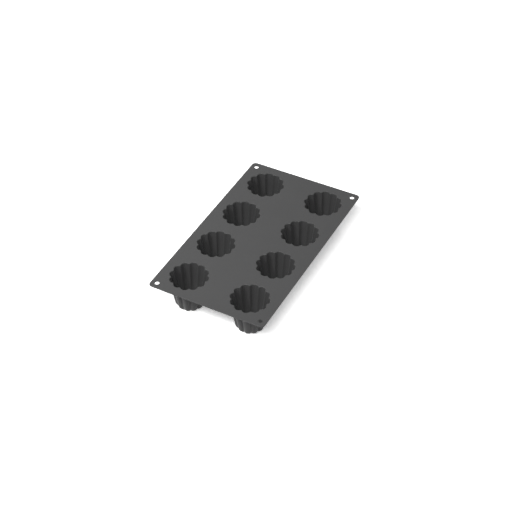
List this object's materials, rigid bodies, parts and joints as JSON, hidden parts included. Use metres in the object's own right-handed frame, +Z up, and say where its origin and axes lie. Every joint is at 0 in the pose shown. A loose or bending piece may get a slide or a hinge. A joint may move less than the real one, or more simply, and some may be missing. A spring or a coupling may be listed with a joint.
{
  "type": "canele mould",
  "caption": "Flexible baking mould for fluted canele cakes: tapered fluted cups in two rows hang from one thin rectangular sheet with a hanging hole at each corner.",
  "frame": {"origin": "middle of the footprint, on the surface that the cups stand on", "axes": "+X along the sheet's length, +Y across it, +Z up, out of the cups' mouths"},
  "size_m": [0.3, 0.175, 0.05],
  "materials": {
    "silicone": "matte"
  },
  "bodies": {
    "root": {"canele_mould": "silicone"}
  },
  "joints": []
}
